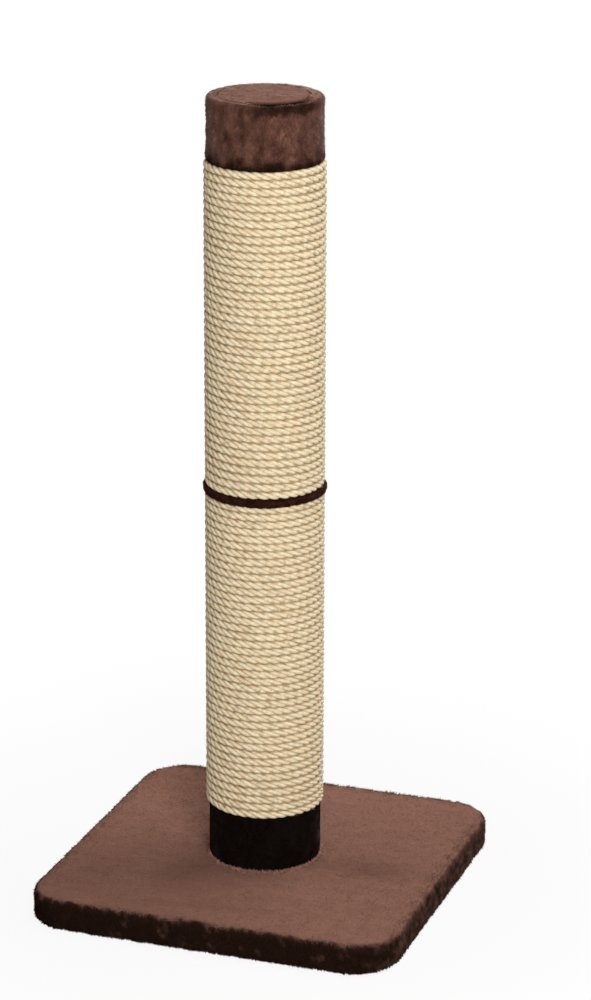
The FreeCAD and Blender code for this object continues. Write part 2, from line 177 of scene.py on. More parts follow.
# ---- meshes ----
def link_piece(name, mesh, material, slot, *nodes):
    """Makes a finished mesh a piece of the post, in the place of the named nodes of the frame."""
    piece = new_object(name, mesh)
    mesh.materials.clear()
    mesh.materials.append(material)
    mesh.shade_smooth()
    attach(piece, "root")
    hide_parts(*nodes)
    return piece


def lathe(rings, stations, poles=False):
    """A closed skin through rings about Z. Each ring is (function from a direction to a radius and
    a height, share of pile). Without poles the last ring joins the first, and with poles both close
    to a point."""
    bm = bmesh.new()
    pile = bm.verts.layers.float.new("pile")
    verts = bmesh.ops.create_circle(bm, segments=stations, radius=1.0)["verts"]
    edges = bm.edges[:]
    ends = []
    for ring, share in rings:
        if ends:
            made = bmesh.ops.extrude_edge_only(bm, edges=edges)["geom"]
            verts = [g for g in made if isinstance(g, bmesh.types.BMVert)]
            new = set(verts)
            edges = [g for g in made if isinstance(g, bmesh.types.BMEdge) and new.issuperset(g.verts)]
        for vert in verts:
            angle = math.atan2(vert.co.y, vert.co.x)
            radius, height = ring(angle)
            vert.co = (radius * math.cos(angle), radius * math.sin(angle), height)
            vert[pile] = share
        ends.append((verts, edges))
    (first_verts, first_edges), (last_verts, last_edges) = ends[0], ends[-1]
    if poles:
        for loop in (first_verts, last_verts):
            bmesh.ops.pointmerge(bm, verts=loop, merge_co=(0, 0, loop[0].co.z))
    else:
        bmesh.ops.bridge_loops(bm, edges=first_edges + last_edges)
    bmesh.ops.recalc_face_normals(bm, faces=bm.faces[:])
    return in_order(bm)


def in_order(bm):
    """The same mesh with its vertices in order of their place, and its edges and faces in order of
    their vertices. They are made in another order in each run, and the pile that is scattered over
    them would differ with it."""
    for elements, key in (
        (bm.verts, lambda vert: vert.co[:]),
        (bm.edges, lambda edge: sorted(vert.index for vert in edge.verts)),
        (bm.faces, lambda face: sorted(vert.index for vert in face.verts)),
    ):
        ranks = {element: rank for rank, element in enumerate(sorted(elements, key=key))}
        elements.sort(key=ranks.get)
        elements.index_update()
    mesh = to_mesh(bm, "skin")
    bm = bmesh.new()
    bm.from_mesh(mesh)
    bpy.data.meshes.remove(mesh)
    return bm


def circle(radius, height):
    """A level ring for lathe."""
    return lambda angle: (radius, height)


def rough_up(bm, lumps, below=math.inf):
    """Moves what carries pile and lies below a height along its normals, by (size of lump, height of
    lump) noises."""
    pile = bm.verts.layers.float["pile"]
    bm.normal_update()
    moves = []
    for vert in bm.verts:
        if vert[pile] > 0 and vert.co.z < below:
            moves.append((vert, vert.normal * sum(ripple(vert.co, lump) * high for lump, high in lumps)))
    for vert, move in moves:
        vert.co += move


def dress(bm, **fields):
    """Gives each vertex the named values, each from a function of its place and its normal. comb is the way
    that the pile leans; the dark share is how far a shaded copy of its colours is mixed in, which paints
    shade; pale is how much lighter it is painted; tall is the share of the full length that it has; and lot
    is the number of the piece that it grows in. The cloth itself has the look of the middle of a tuft."""
    bm.normal_update()
    fields = {"lie": lambda place, normal: normal, **fields}
    for name, value in (("along", 0.5), ("tone", 0.5), ("tall", 1.0)):
        fields.setdefault(name, lambda place, normal, value=value: value)
    for name, value_at in fields.items():
        kind = bm.verts.layers.float_vector if name in ("comb", "lie") else bm.verts.layers.float
        layer = kind.new(name)
        for vert in bm.verts:
            vert[layer] = value_at(vert.co, vert.normal)


def to_mesh(bm, name):
    mesh = bpy.data.meshes.new(name)
    bm.to_mesh(mesh)
    bm.free()
    return mesh


TUFT_FLATNESS = 0.4
CLUMP = 14 * MM      # width of the clumps of tufts that lean the same way


def make_tuft(width, length):
    """One tuft of pile: a flat three-sided spike along +Z, with its ridge on the side of +X."""
    bm = bmesh.new()
    bmesh.ops.create_cone(bm, cap_ends=True, segments=3, radius1=width / 1.73, radius2=0.0, depth=length)
    bmesh.ops.translate(bm, verts=bm.verts, vec=(0, 0, length / 2))
    ridge = max((vert for vert in bm.verts if vert.co.z < length / 2), key=lambda vert: vert.co.y)
    turn = math.atan2(ridge.co.y, ridge.co.x)
    bmesh.ops.rotate(bm, verts=bm.verts, cent=(0, 0, 0), matrix=Matrix.Rotation(-turn, 3, "Z"))
    bmesh.ops.scale(bm, verts=bm.verts, vec=(TUFT_FLATNESS, 1, 1))
    along = bm.verts.layers.float.new("along")
    for vert in bm.verts:
        vert[along] = vert.co.z / length
    tuft = new_object("tuft", to_mesh(bm, "tuft"))
    tuft.hide_render = True
    return tuft


def grow_pile(cover, name, seed, density, width, length, stand, swirl, jitter, lot):
    """Scatters tufts over a cover and returns them as one mesh. density is tufts for each square
    metre, stand how upright they are, swirl how much whole clumps lean, jitter how much each tuft
    does alone, and lot the part of the cover that they grow on."""
    tuft = make_tuft(width, length)
    tree = bpy.data.node_groups.new(name, "GeometryNodeTree")
    tree.interface.new_socket("Cover", in_out="INPUT", socket_type="NodeSocketGeometry")
    tree.interface.new_socket("Pile", in_out="OUTPUT", socket_type="NodeSocketGeometry")
    share, lots, tall, comb = [
        add(tree, "GeometryNodeInputNamedAttribute", {"Name": field}, data_type=kind)
        for field, kind in (("pile", "FLOAT"), ("lot", "FLOAT"), ("tall", "FLOAT"), ("comb", "FLOAT_VECTOR"))
    ]
    cloth = add(tree, "NodeGroupInput")
    mine = add(tree, "ShaderNodeMath", {0: lots, 1: lot, 2: 0.5}, operation="COMPARE")
    amount = add(tree, "ShaderNodeMath", {0: share, 1: density}, operation="MULTIPLY")
    amount = add(tree, "ShaderNodeMath", {0: amount, 1: mine}, operation="MULTIPLY")
    roots = add(
        tree, "GeometryNodeDistributePointsOnFaces", {"Mesh": cloth, "Density": amount, "Seed": seed}
    )
    normal = roots.node.outputs["Normal"]
    place = add(tree, "GeometryNodeInputPosition")
    cloud = add(tree, "ShaderNodeTexNoise", {"Vector": place, "Scale": 1 / CLUMP, "Detail": 1.0}, "Color")
    clumps = add(tree, "ShaderNodeVectorMath", {0: cloud, 1: (0.5, 0.5, 0.5)}, operation="SUBTRACT")
    clumps = add(tree, "ShaderNodeVectorMath", {0: clumps, "Scale": 2 * swirl}, operation="SCALE")
    alone = add(
        tree, "FunctionNodeRandomValue", {0: (-jitter,) * 3, 1: (jitter,) * 3, "Seed": seed + 1},
        data_type="FLOAT_VECTOR",
    )
    lean = add(tree, "ShaderNodeVectorMath", {0: normal, "Scale": stand}, operation="SCALE")
    for part in (comb, clumps, alone):
        lean = add(tree, "ShaderNodeVectorMath", {0: lean, 1: part}, operation="ADD")
    turned = add(tree, "FunctionNodeAlignRotationToVector", {"Vector": lean}, axis="Z")
    turned = add(
        tree, "FunctionNodeAlignRotationToVector", {"Rotation": turned, "Vector": normal}, axis="X",
        pivot_axis="Z",
    )
    scale = add(tree, "FunctionNodeRandomValue", {2: 0.7, 3: 1.3, "Seed": seed + 3}, 1, data_type="FLOAT")
    scale = add(tree, "ShaderNodeMath", {0: scale, 1: tall}, operation="MULTIPLY")
    shape = add(tree, "GeometryNodeObjectInfo", {"Object": tuft}, "Geometry")
    sink = bpy.context.scene.post_sizes.pile_sink
    down = add(tree, "ShaderNodeVectorMath", {0: normal, "Scale": -sink}, operation="SCALE")
    sunk = add(tree, "GeometryNodeSetPosition", {"Geometry": roots, "Offset": down})
    tufts = add(
        tree, "GeometryNodeInstanceOnPoints",
        {"Points": sunk, "Instance": shape, "Rotation": turned, "Scale": scale},
    )
    tone = add(tree, "FunctionNodeRandomValue", {2: 0.0, 3: 1.0, "Seed": seed + 4}, 1, data_type="FLOAT")
    for field, value, kind in (("tone", tone, "FLOAT"), ("lie", normal, "FLOAT_VECTOR")):
        tufts = add(
            tree, "GeometryNodeStoreNamedAttribute", {"Geometry": tufts, "Name": field, "Value": value},
            data_type=kind, domain="INSTANCE",
        )
    grown = add(tree, "GeometryNodeRealizeInstances", {"Geometry": tufts})
    add(tree, "NodeGroupOutput", {0: grown})
    holder = new_object(name, cover.data)
    holder.modifiers.new("Pile", "NODES").node_group = tree
    mesh = finished(holder)
    bpy.data.objects.remove(tuft)
    bpy.data.node_groups.remove(tree)
    return mesh


def trim(mesh, lowest):
    """Cuts the pile off level at the lowest height that it may reach."""
    places = np.empty(len(mesh.vertices) * 3, np.float32)
    mesh.vertices.foreach_get("co", places)
    places = places.reshape(-1, 3)
    places[:, 2] = np.maximum(places[:, 2], lowest)
    mesh.vertices.foreach_set("co", places.ravel())
    mesh.update()


def lay_cloth(bm, name, material, slot, node, *piles, lowest=-math.inf):
    """Makes a dressed skin the cloth in place of a node, and grows its piles on it. Each is (name, seed,
    density, width, length, stand, swirl, jitter) and none reaches below the lowest height."""
    cloth = link_piece(name, to_mesh(bm, name), material, slot, node)
    for lot, (pile_name, *growth) in enumerate(piles):
        mesh = grow_pile(cloth, pile_name, *growth, lot)
        trim(mesh, lowest)
        link_piece(pile_name, mesh, material, slot)


def bars(name, lines, sides):
    """Closed round bars, one along each line of (x, y, z, radius) rows, as one mesh."""
    curve = bpy.data.curves.new(name, "CURVE")
    curve.dimensions = "3D"
    curve.bevel_depth = 1.0
    curve.bevel_resolution = sides // 2 - 2
    curve.use_fill_caps = True
    for line in lines:
        spline = curve.splines.new("POLY")
        spline.points.add(len(line) - 1)
        places = np.ones((len(line), 4), np.float32)
        places[:, :3] = line[:, :3]
        spline.points.foreach_set("co", places.ravel())
        spline.points.foreach_set("radius", np.ascontiguousarray(line[:, 3], np.float32))
    mesh = finished(new_object(name, curve))
    bm = bmesh.new()
    bm.from_mesh(mesh)
    bmesh.ops.remove_doubles(bm, verts=bm.verts, dist=0.001 * MM)
    bm.to_mesh(mesh)
    bm.free()
    return mesh


# ---- materials ----
def new_material(name, **sockets):
    """A material with its even values set on the shader itself, and with its nodes, its shader and
    the place on the object at hand."""
    material = bpy.data.materials.new(name)
    material.use_nodes = True
    tree = material.node_tree
    shader = tree.nodes["Principled BSDF"]
    fill(shader, {socket.replace("_", " "): value for socket, value in sockets.items()})
    return material, tree, shader, add(tree, "ShaderNodeTexCoord", take="Object")


def plush(name, coat, depth, sheen, streak, contrast):
    """Polyester plush, knitted with a cut pile of a few millimetres. Its tips catch the light and its depth
    is dark. coat and depth name the colours of the pile where it lies flat and of a shaded copy of it. The
    copy paints shade where the pile's dark share says, on sides and in crevices, and is partly the darker
    look of pile seen end-on. streak is the size along x, y and z of the marks that hands leave in the pile,
    and contrast is how strong they are."""
    colours = bpy.context.scene.post_colours
    tip, root, flank_tip, flank_root = [
        getattr(colours, f"{part}_{end}") for part in (coat, depth) for end in ("tip", "root")
    ]
    brightest = max(tip)
    material, tree, shader, place = new_material(
        name, Roughness=0.95, Sheen_Roughness=0.4, Specular_IOR_Level=0.02,
        Sheen_Tint=[(c / brightest) ** 0.5 * brightest**0.2 for c in tip],
    )
    along, tone, flank, pale = [
        add(tree, "ShaderNodeAttribute", take="Fac", attribute_name=field)
        for field in ("along", "tone", "flank", "pale")
    ]
    flat = add(tree, "ShaderNodeMix", {0: along, 6: root, 7: tip}, 2, data_type="RGBA")
    # The shaded copy of the pile's colours, mixed in by its dark share: painted shade.
    shaded_coat = add(tree, "ShaderNodeMix", {0: along, 6: flank_root, 7: flank_tip}, 2, data_type="RGBA")
    coat = add(tree, "ShaderNodeMix", {0: flank, 6: flat, 7: shaded_coat}, 2, data_type="RGBA")
    scales = [1 / length for length in streak]
    marks_at = add(tree, "ShaderNodeVectorMath", {0: place, 1: scales}, operation="MULTIPLY")
    marks = add(tree, "ShaderNodeTexNoise", {"Vector": marks_at, "Scale": 1.0, "Detail": 3.0})
    tangle = add(tree, "ShaderNodeTexNoise", {"Vector": place, "Scale": 1 / (3 * MM), "Detail": 2.0})
    shades = [
        add(tree, "ShaderNodeMapRange", {"Value": value, 1: low, 2: high, 3: 1 - part, 4: 1 + part})
        for value, low, high, part in (
            (marks, 0.3, 0.7, contrast), (tangle, 0.3, 0.7, 0.14), (tone, 0.0, 1.0, 0.12)
        )
    ]
    # The pale share paints the pile up to 2.9 times lighter: painted light towards the back of the base's
    # top, and a lighter fringe round the foot.
    shades.append(add(tree, "ShaderNodeMapRange", {"Value": pale, 3: 1.0, 4: 2.9}))
    strength = shades[0]
    for shade in shades[1:]:
        strength = add(tree, "ShaderNodeMath", {0: strength, 1: shade}, operation="MULTIPLY")
    tinted = add(tree, "ShaderNodeVectorMath", {0: coat, "Scale": strength}, operation="SCALE")
    gloss = add(tree, "ShaderNodeMapRange", {"Value": flank, 3: sheen, 4: sheen * 0.1})
    own = add(tree, "ShaderNodeNewGeometry", take="Normal")
    lie = add(tree, "ShaderNodeAttribute", take="Vector", attribute_name="lie")
    lie = add(
        tree, "ShaderNodeVectorTransform", {0: lie}, vector_type="NORMAL", convert_from="OBJECT",
        convert_to="WORLD",
    )
    calm = add(tree, "ShaderNodeVectorMath", {0: lie, "Scale": 1.6}, operation="SCALE")
    soft = add(tree, "ShaderNodeVectorMath", {0: own, 1: calm}, operation="ADD")
    soft = add(tree, "ShaderNodeVectorMath", {0: soft}, operation="NORMALIZE")
    fill(shader, {"Base Color": tinted, "Sheen Weight": gloss, "Normal": soft})
    return material


def sisal(pale, dark, outer):
    """Sisal, a hard leaf fibre that is combed straight, spun and laid in strands. Dry and pale, with
    straight fibres along the rope, a darker one here and there, and painted brown shade in the grooves."""
    material, tree, shader, place = new_material("sisal_laid_rope", Roughness=0.72, Specular_IOR_Level=0.2)
    fibre_length, fibre_width = 9 * MM, 0.5 * MM
    axes = add(tree, "ShaderNodeSeparateXYZ", {0: place}).node.outputs
    angle = add(tree, "ShaderNodeMath", {0: axes["Y"], 1: axes["X"]}, operation="ARCTAN2")
    level = add(tree, "ShaderNodeVectorMath", {0: place, 1: (1, 1, 0)}, operation="MULTIPLY")
    reach = add(tree, "ShaderNodeVectorMath", {0: level}, "Value", operation="LENGTH")
    stretched = [
        add(tree, "ShaderNodeMath", {0: value, 1: scale}, operation="MULTIPLY")
        for value, scale in (
            (angle, outer / fibre_length), (reach, 1 / fibre_width), (axes["Z"], 1 / fibre_width)
        )
    ]
    fibre_place = add(tree, "ShaderNodeCombineXYZ", dict(enumerate(stretched)))
    fibres = add(tree, "ShaderNodeTexNoise", {"Vector": fibre_place, "Scale": 1.0, "Detail": 3.0})
    batch = add(tree, "ShaderNodeTexNoise", {"Vector": place, "Scale": 1 / (9 * MM), "Detail": 2.0})
    streak = add(tree, "ShaderNodeMapRange", {"Value": fibres, 1: 0.36, 2: 0.66})
    brown = add(tree, "ShaderNodeMapRange", {"Value": batch, 1: 0.56, 2: 0.78, 4: 0.5})
    light, body = [min(c * 1.28, 1.0) for c in pale], [c * 0.86 for c in pale]
    mixed = add(tree, "ShaderNodeMix", {0: streak, 6: body, 7: light}, 2, data_type="RGBA")
    mixed = add(tree, "ShaderNodeMix", {0: brown, 6: mixed, 7: dark}, 2, data_type="RGBA")
    for patch, low, code in ((8 * MM, 0.5, "dfbe94"), (6 * MM, 0.52, "f4ead0")):
        spots = add(tree, "ShaderNodeTexNoise", {"Vector": place, "Scale": 1 / patch, "Detail": 1.0})
        share = add(tree, "ShaderNodeMapRange", {"Value": spots, 1: low, 2: low + 0.2, 4: 0.5})
        mixed = add(tree, "ShaderNodeMix", {0: share, 6: mixed, 7: linear(code)}, 2, data_type="RGBA")
    # Painted shade: the rope turns darker the deeper a point lies in its grooves.
    groove_shade = add(
        tree, "ShaderNodeMapRange",
        {"Value": reach, 1: outer - 3.6 * MM, 2: outer - 1.3 * MM, 3: 0.6, 4: 0.0},
    )
    mixed = add(tree, "ShaderNodeMix", {0: groove_shade, 6: mixed, 7: dark}, 2, data_type="RGBA")
    bump = add(tree, "ShaderNodeBump", {"Height": fibres, "Strength": 0.6, "Distance": 0.4 * MM})
    fill(shader, {"Base Color": mixed, "Normal": bump})
    return material


def particle_board():
    """Particle board, pressed from wood chips and glue. Flat, dry and speckled."""
    material, tree, shader, place = new_material("particle_board", Roughness=0.85, Specular_IOR_Level=0.2)
    chips = add(tree, "ShaderNodeTexVoronoi", {"Vector": place, "Scale": 1 / (2.5 * MM)}, "Color")
    grey = add(tree, "ShaderNodeRGBToBW", {0: chips})
    ends = {6: linear("8e7350"), 7: linear("c9b28a")}
    mixed = add(tree, "ShaderNodeMix", {0: grey, **ends}, 2, data_type="RGBA")
    fill(shader, {"Base Color": mixed})
    return material


def paperboard():
    """Grey-brown paperboard, wound in a spiral from strips of paper and glued, with a mottled pulp."""
    material, tree, shader, place = new_material(
        "spiral_wound_paperboard", Roughness=0.8, Specular_IOR_Level=0.25
    )
    pulp = add(tree, "ShaderNodeTexNoise", {"Vector": place, "Scale": 1 / (4 * MM), "Detail": 4.0})
    ends = {6: linear("86694a"), 7: linear("b3946c")}
    mixed = add(tree, "ShaderNodeMix", {0: pulp, **ends}, 2, data_type="RGBA")
    fill(shader, {"Base Color": mixed})
    return material


def nonwoven():
    """Black polypropylene felt, bonded in a grid of small pressed dots, with a faint dry gloss."""
    material, tree, shader, place = new_material(
        "point_bonded_nonwoven", Roughness=0.75, Specular_IOR_Level=0.3
    )
    dots = add(tree, "ShaderNodeTexVoronoi", {"Vector": place, "Scale": 1 / (2.2 * MM), "Randomness": 0.15})
    pressed = add(tree, "ShaderNodeMapRange", {"Value": dots, 1: 0.15, 2: 0.35})
    ends = {6: linear("1b1b1c"), 7: linear("303031")}
    mixed = add(tree, "ShaderNodeMix", {0: pressed, **ends}, 2, data_type="RGBA")
    bump = add(tree, "ShaderNodeBump", {"Height": pressed, "Strength": 0.5, "Distance": 0.3 * MM})
    fill(shader, {"Base Color": mixed, "Normal": bump})
    return material


def zinc_steel(name, code, roughness):
    """Steel with a thin bright zinc plating, faintly cloudy and a little uneven in its gloss."""
    material, tree, shader, place = new_material(name, Metallic=1.0)
    cloud = add(tree, "ShaderNodeTexNoise", {"Vector": place, "Scale": 1 / (3 * MM), "Detail": 3.0})
    ends = {6: [c * 0.8 for c in linear(code)], 7: linear(code)}
    mixed = add(tree, "ShaderNodeMix", {0: cloud, **ends}, 2, data_type="RGBA")
    gloss = add(tree, "ShaderNodeMapRange", {"Value": cloud, 3: roughness - 0.08, 4: roughness + 0.12})
    fill(shader, {"Base Color": mixed, "Roughness": gloss})
    return material


SKIN = 0.15 * MM     # between a cover and the board or tube in it


# ---- base cover ----
def rounded_square(side, corner, inset, height):
    """A level ring of a square with round corners, moved inwards by inset."""
    half = side / 2 - inset
    radius = max(corner - inset, 1 * MM)
    centre = half - radius

    def ring(angle):
        u, v = sorted((abs(math.cos(angle)), abs(math.sin(angle))), reverse=True)
        if half * v / u <= centre:
            return half / u, height
        return centre * (u + v) + math.sqrt(centre**2 * ((u + v) ** 2 - 2) + radius**2), height

    return ring


def between(ring_a, ring_b, share):
    """A ring part of the way from one ring to another."""
    def ring(angle):
        (radius_a, height_a), (radius_b, height_b) = ring_a(angle), ring_b(angle)
        return radius_a + (radius_b - radius_a) * share, height_a + (height_b - height_a) * share

    return ring


# Darker patches painted on the base's pile. The first two are painted shadows that the post casts, and the
# other two are only darker. Each is its middle (x, y), length and width in millimetres, the angle of the
# length in degrees, and how dark it is.
POST_SHADOWS_AND_PATCHES = (
    (-75, -95, 150, 90, 50, 0.16),
    (150, -15, 230, 100, 5, 0.25),
    (-190, -150, 260, 130, 80, 0.1),
    (20, -190, 260, 60, 8, 0.06),
)


def painted_patch_at(place, x, y, length, width, angle, depth):
    """How dark a painted patch is at a place: depth in its middle, and nothing past its edge."""
    turned = Matrix.Rotation(-math.radians(angle), 2) @ Vector((place.x - x * MM, place.y - y * MM))
    reach = math.hypot(turned.x / (length * MM / 2), turned.y / (width * MM / 2))
    return depth * (1 - ease(0.1, 1.0, reach))


class POST_OT_base_cover(bpy.types.Operator):
    """Covers the base boards in brown plush, over the top and sides and under to a hem"""

    bl_idname = "post.base_cover"
    bl_label = "Base Cover"

    def execute(self, context):
        sizes = context.scene.post_sizes
        low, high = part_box("base_plush_cover")
        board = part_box("base_board_upper")[1]
        board_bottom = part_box("base_board_lower")[0].z
        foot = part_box("lower_tube")[0].z
        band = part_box("lower_plush_band")[1].x
        side = high.x - low.x
        out = 2.3 * MM
        top = high.z - 2.2 * MM
        bottom = low.z + 0.3 * MM

        def square(inset, height):
            return rounded_square(side, sizes.corner, inset, height)

        inner = side / 2 - board.x - SKIN
        rings = [
            (circle(6 * MM, board.z + SKIN), 0),
            (circle(6 * MM, foot - SKIN), 0),
            (circle(band - 1 * MM, foot - SKIN), 0),
            (circle(band - 0.4 * MM, foot + 0.4 * MM), 1.5),
            (circle(band + 0.8 * MM, top + 0.3 * MM), 2.5),
            (circle(band + 2.5 * MM, top + 0.2 * MM), 1.5),
        ]
        collar, brim = circle(band + 5 * MM, top - 0.3 * MM), square(out + sizes.edge, top)
        steps = 40
        rings += [(between(collar, brim, (i / steps) ** 0.9), 1) for i in range(steps + 1)]
        bends = 8
        for i in range(1, bends + 1):
            swing = math.pi / 2 * i / bends
            inset = out + sizes.edge * (1 - math.sin(swing))
            rings.append((square(inset, top - sizes.edge * (1 - math.cos(swing))), 1))
        lower_edge = 3.5 * MM
        drops = 9
        upper, lower = top - sizes.edge, bottom + lower_edge
        rings += [(square(out, upper + (lower - upper) * i / drops), 1) for i in range(1, drops + 1)]
        for i in range(1, 5):
            swing = math.pi / 2 * i / 4
            inset = out + lower_edge * (1 - math.cos(swing))
            rings.append((square(inset, lower - lower_edge * math.sin(swing)), 0.7))
        folds = 8
        start, end = out + lower_edge, sizes.hem
        rings += [(square(start + (end - start) * i / folds, bottom), 0.12) for i in range(1, folds + 1)]
        rings += [
            (square(sizes.hem, board_bottom - SKIN), 0),
            (square(inner, board_bottom - SKIN), 0),
            (square(inner, board.z + SKIN), 0),
        ]
        bm = lathe(rings, 480)
        rough_up(bm, [(16 * MM, 0.35 * MM), (5 * MM, 0.3 * MM)])
        rough_up(bm, [(9 * MM, 0.8 * MM), (4.5 * MM, 0.6 * MM)], below=top - 3 * MM)
        nap = Vector((0.35, -0.9, 0.0))

        def comb_at(place, normal):
            reach = math.hypot(place.x, place.y)
            if reach < band + 3 * MM:
                return Vector((-place.x / reach, -place.y / reach, 0.9)) * 0.8
            across = nap - normal * nap.dot(normal)
            droop = Vector((0, 0, -0.5)) * (1 - abs(normal.z))
            return across * 0.9 + droop

        # The dark share on the base: painted shade on its sides with lighter bare clumps, and on the top
        # painted shadows, darker patches and a ring of painted shade round the post's foot.
        def shaded_at(place, normal):
            straight = side / 2 - sizes.corner
            across = max(abs(place.x) - straight, 0), max(abs(place.y) - straight, 0)
            inset = sizes.corner - math.hypot(*across)
            front = across[1] / max(math.hypot(*across), MM) if place.y < 0 else 0
            edge = (7.5 + 4.5 * front) * MM
            fray = (ripple(place, 7 * MM) * 0.6 + ripple(place, 17 * MM) * 0.5) * (0.5 + 0.5 * front)
            shaded_side = ease(0.0, 1.0, (edge - inset) / (8 * MM) + fray)
            # The sides that face right get more of the lighter clumps: painted light.
            right = max(normal.x, 0.0)
            clump = ripple(place, 7 * MM, 9 * MM) * 0.6 + ripple(place, 30 * MM) * 0.4
            bare = ease(0.12, 0.45, clump - 0.1 + 0.24 * right)
            shadows_and_patches = sum(painted_patch_at(place, *painted_patch) for painted_patch in POST_SHADOWS_AND_PATCHES)
            # A ring of painted shade round the post's foot.
            foot_shade = abs(math.hypot(place.x, place.y) - band - 9 * MM) / (5 * MM)
            foot_shade = 0.14 * (1 - ease(0, 1, foot_shade)) * (1 + ripple(place, 14 * MM))
            return max(shaded_side * (1 - (0.02 + 0.12 * right) * bare), shadows_and_patches + foot_shade)

        def tall_at(place, normal):
            on_top = ease(high.z - 5 * MM, high.z - 3 * MM, place.z)
            rim = max(abs(place.x), abs(place.y)) - side / 2 + 22 * MM
            at_foot = 1 - ease(band + 2 * MM, band + 6 * MM, math.hypot(place.x, place.y))
            return 1 - 0.3 * on_top * (1 - ease(0, 12 * MM, rim)) + 0.6 * at_foot

        # A lighter fringe round the post's foot, and painted light that makes the top lighter towards the
        # back left.
        def pale_at(place, normal):
            reach = math.hypot(place.x, place.y) + ripple(place, 5 * MM) * 2.2 * MM
            spots = 0.34 + 0.24 * ripple(place, 6 * MM)
            fringe = (1 - ease(band + 1.2 * MM, band + 4.5 * MM, reach)) * max(spots, 0)
            return max(fringe, 0.12 * ease(-0.05, 0.28, place.y - 0.35 * place.x))

        def lot_at(place, normal):
            if place.z < high.z - 5 * MM:
                return 2
            return 0 if place.y > 0 else 1

        dress(bm, comb=comb_at, flank=shaded_at, pale=pale_at, lot=lot_at, tall=tall_at)
        brown = plush("brown_plush_base", "pile", "flank", 0.24, (60 * MM, 22 * MM, 22 * MM), 0.06)
        tuft = sizes.pile_width, sizes.pile_length
        lay_cloth(
            bm, "base_cover", brown, "base_plush", "base_plush_cover",
            ("base_pile_back", 11, 400000, *tuft, 0.2, 0.25, 0.25),
            ("base_pile_front", 21, 400000, *tuft, 0.2, 0.25, 0.25),
            ("base_pile_side", 31, 600000, *tuft, 0.6, 0.25, 0.25),
            lowest=0.3 * MM,
        )
        return {"FINISHED"}


# ---- foot band ----
class POST_OT_foot_band(bpy.types.Operator):
    """Wraps the foot of the post in dark plush, up to the rope's lowest row"""

    bl_idname = "post.foot_band"
    bl_label = "Foot Band"

    def execute(self, context):
        sizes = context.scene.post_sizes
        low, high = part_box("lower_plush_band")
        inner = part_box("lower_tube")[1].x + SKIN
        outer = high.x - 1.2 * MM
        winding = Winding("lower_sisal_rope", LOWER_TILT, lambda angle: SETTLED)

        def raised(radius, share):
            def ring(angle):
                top = high.z + winding.start_tilt(angle) + 0.6 * MM
                return radius, low.z + (top - low.z) * share

            return ring

        rings = [(raised(inner, 0), 0), (raised(outer - 0.6 * MM, 0), 0.2)]
        steps = 26
        rings += [(raised(outer, (i + 0.5) / (steps + 1)), 1 if i > 1 else 0.2) for i in range(steps + 1)]
        rings += [(raised(outer - 0.8 * MM, 1), 0.6), (raised(inner, 1), 0)]
        bm = lathe(rings, 240)
        rough_up(bm, [(22 * MM, 0.3 * MM), (6 * MM, 0.2 * MM)])
        dress(
            bm, comb=lambda place, normal: Vector((0, 0, -1.4)),
            flank=lambda place, normal: 0.9 - 0.4 * ease(0.1, 0.6, ripple(place, 16 * MM)),
        )
        dark = plush("dark_plush_band", "band", "band", 0.35, (18 * MM, 18 * MM, 40 * MM), 0.3)
        lay_cloth(
            bm, "foot_band", dark, "dark_plush", "lower_plush_band",
            ("foot_band_pile", 41, 640000, sizes.dark_width, sizes.dark_length, 0.45, 0.3, 0.3),
        )
        return {"FINISHED"}


# ---- rope ----
START_ANGLE = math.radians(75)
JOG = 70 / 360           # part of a turn in which a level row climbs to the next
FRONT_PART = 146 / 360   # part of a turn after which a row is at the front
ROW_GAP = 0.22 * MM
LOWER_TILT = (0.6, 0.12, 0.0)
UPPER_TILT = (0.0, 0.95, 0.0)
SETTLED = 3.2 * MM       # how far the lowest row has slid down
STRANDS = 3
STRAY_FIBRES = 2200      # on each half of the post


def droop(angle):
    """How far the ring round the joint, and the rope on it, hang down at the front of the post."""
    return 1.3 * MM * (1 + math.cos(angle + math.radians(70)))


